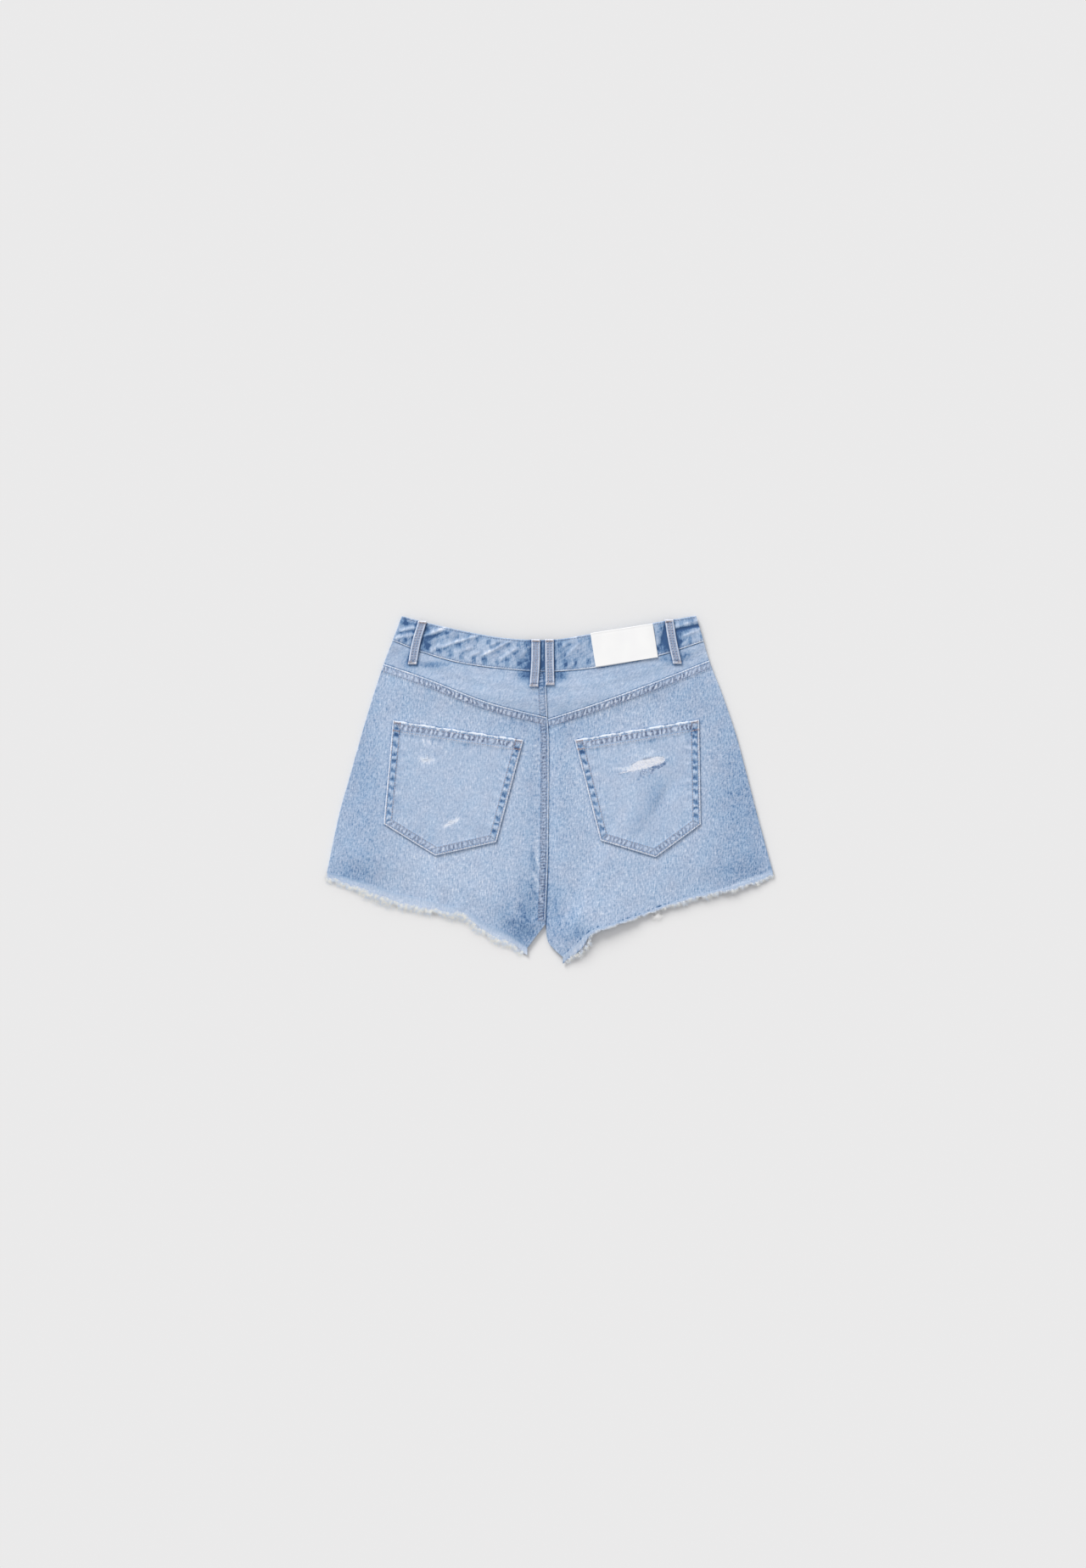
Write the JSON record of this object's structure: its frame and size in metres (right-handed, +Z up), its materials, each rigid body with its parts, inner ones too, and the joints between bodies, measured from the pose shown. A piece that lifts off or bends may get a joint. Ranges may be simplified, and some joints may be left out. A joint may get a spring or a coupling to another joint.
{
  "type": "denim shorts",
  "caption": "Cut-off denim shorts lying flat on their front, back upwards, with patch pockets, belt loops, a bare waist patch, a ripped pocket and frayed hems.",
  "frame": {"origin": "middle of the part's base, on the surface that it lies on", "axes": "+X across the shorts towards the wearer's right, +Y from the hems to the waist, +Z up, out of the back of the shorts"},
  "size_m": [0.5279, 0.4052, 0.0111],
  "materials": {
    "denim": "light-wash indigo twill, pale along its seams",
    "pocket_denim": "light-wash indigo twill, a little paler",
    "band_denim": "indigo twill, marbled by washing",
    "frayed_yarn": "loose off-white yarn",
    "patch": "smooth coated white, bare",
    "button_metal": "dull nickel"
  },
  "bodies": {
    "root": {"back_panel_left": "denim", "back_panel_right": "denim", "yoke_left": "denim", "yoke_right": "denim", "front_panel_left": "denim", "front_panel_right": "denim", "front_pocket_facing_left": "denim", "front_pocket_facing_right": "denim", "belt_loop_back_left": "denim", "belt_loop_back_centre_left": "denim", "belt_loop_back_centre_right": "denim", "belt_loop_back_right": "denim", "belt_loop_front_left": "denim", "belt_loop_front_right": "denim", "waistband_back": "band_denim", "waistband_front_left": "band_denim", "waistband_front_right": "band_denim", "back_pocket_left": "pocket_denim", "back_pocket_right": "pocket_denim", "waist_patch": "patch", "waist_button": "button_metal", "frayed_hem_back_left": "frayed_yarn", "frayed_hem_back_right": "frayed_yarn", "frayed_hem_front_left": "frayed_yarn", "frayed_hem_front_right": "frayed_yarn"}
  },
  "joints": []
}
